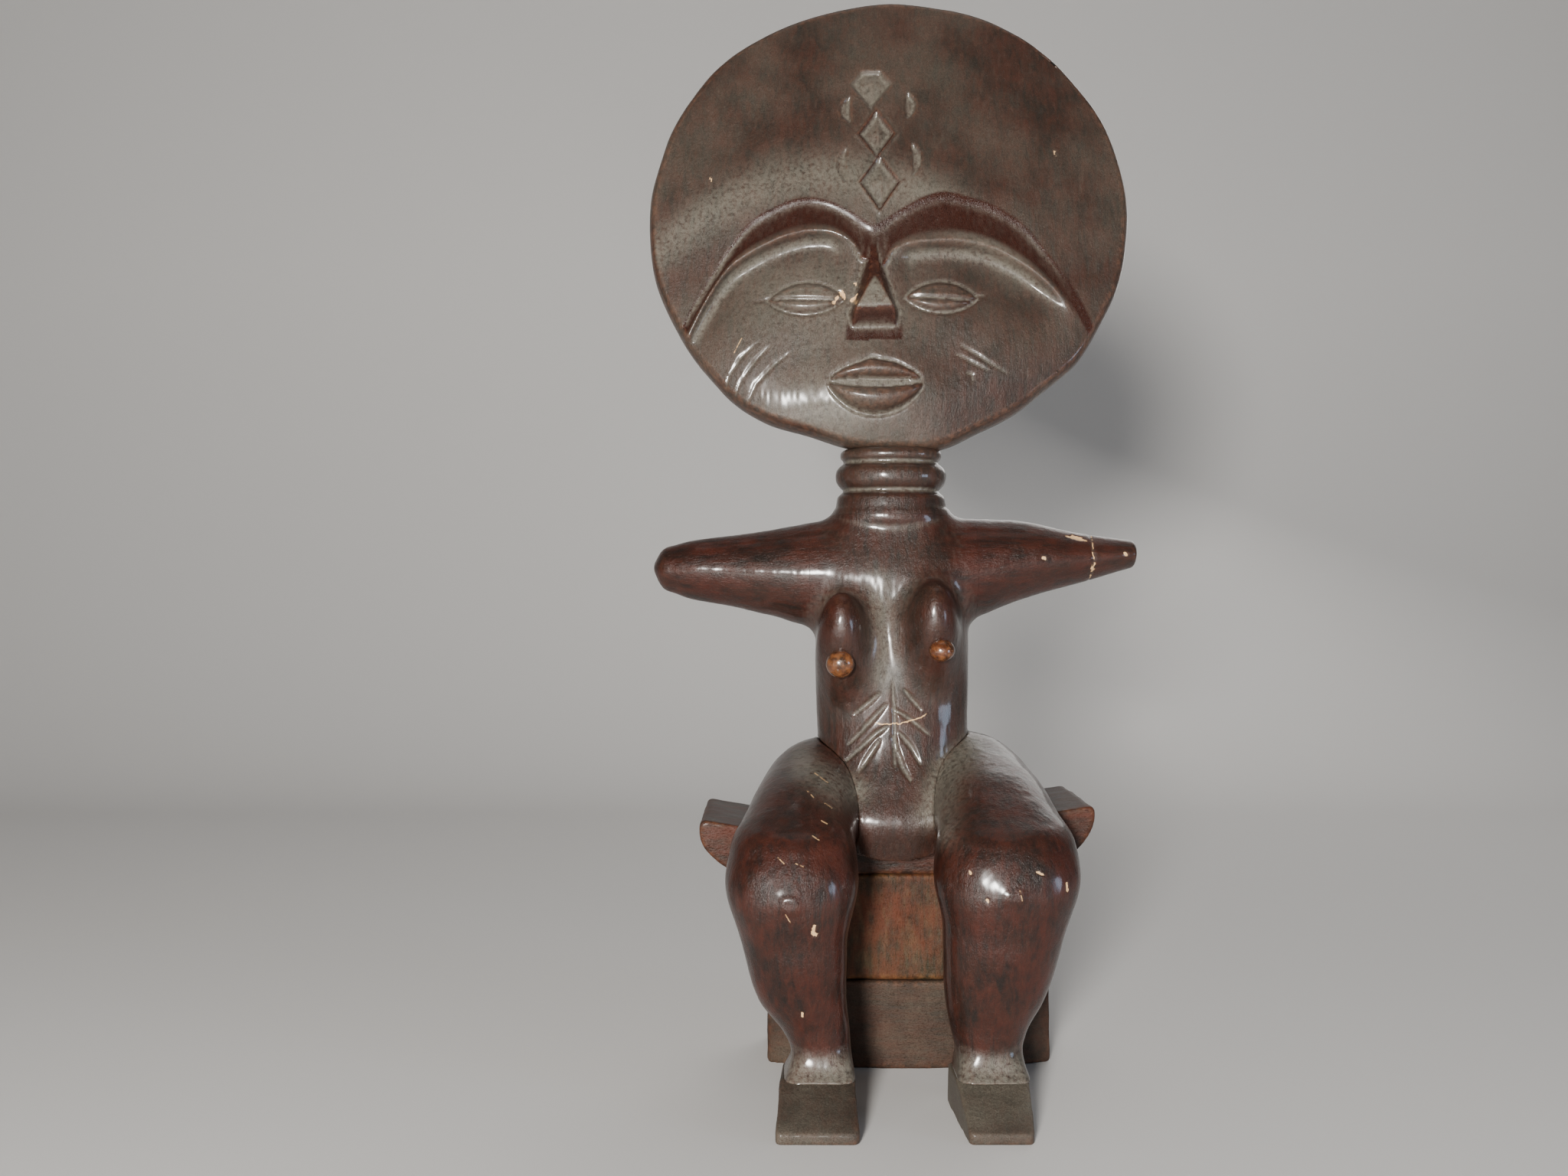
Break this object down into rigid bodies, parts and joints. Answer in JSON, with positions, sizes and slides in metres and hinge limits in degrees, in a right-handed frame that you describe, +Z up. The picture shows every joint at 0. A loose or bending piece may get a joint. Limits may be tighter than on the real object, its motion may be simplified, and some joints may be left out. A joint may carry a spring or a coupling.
{
  "type": "fertility doll",
  "caption": "Seated female fertility figure with a large disc head, stub arms held out and a ringed neck, on a curved-seat stool; a free-standing carved wood ornament.",
  "frame": {"origin": "middle of the bounding box in X and Y, on the ground under the feet and the stool", "axes": "+Z up, -Y the way the figure faces, +X the figure's own left side"},
  "size_m": [0.151, 0.0996, 0.3367],
  "materials": {
    "figure_wood": "near-black brown stain under satin lacquer, knife facets, dust in the creases",
    "peg_wood": "worn orange-brown, glossy",
    "stool_wood": "dark brown stain, duller and dustier than the figure"
  },
  "bodies": {
    "root": {"head_disc": "figure_wood", "neck": "figure_wood", "torso": "figure_wood", "right_arm": "figure_wood", "left_arm": "figure_wood", "left_arm_tip": "figure_wood", "right_leg": "figure_wood", "left_leg": "figure_wood", "right_foot": "figure_wood", "left_foot": "figure_wood", "right_nipple_peg": "peg_wood", "left_nipple_peg": "peg_wood", "stool_seat": "stool_wood", "stool_column": "stool_wood", "stool_base": "stool_wood"}
  },
  "joints": []
}
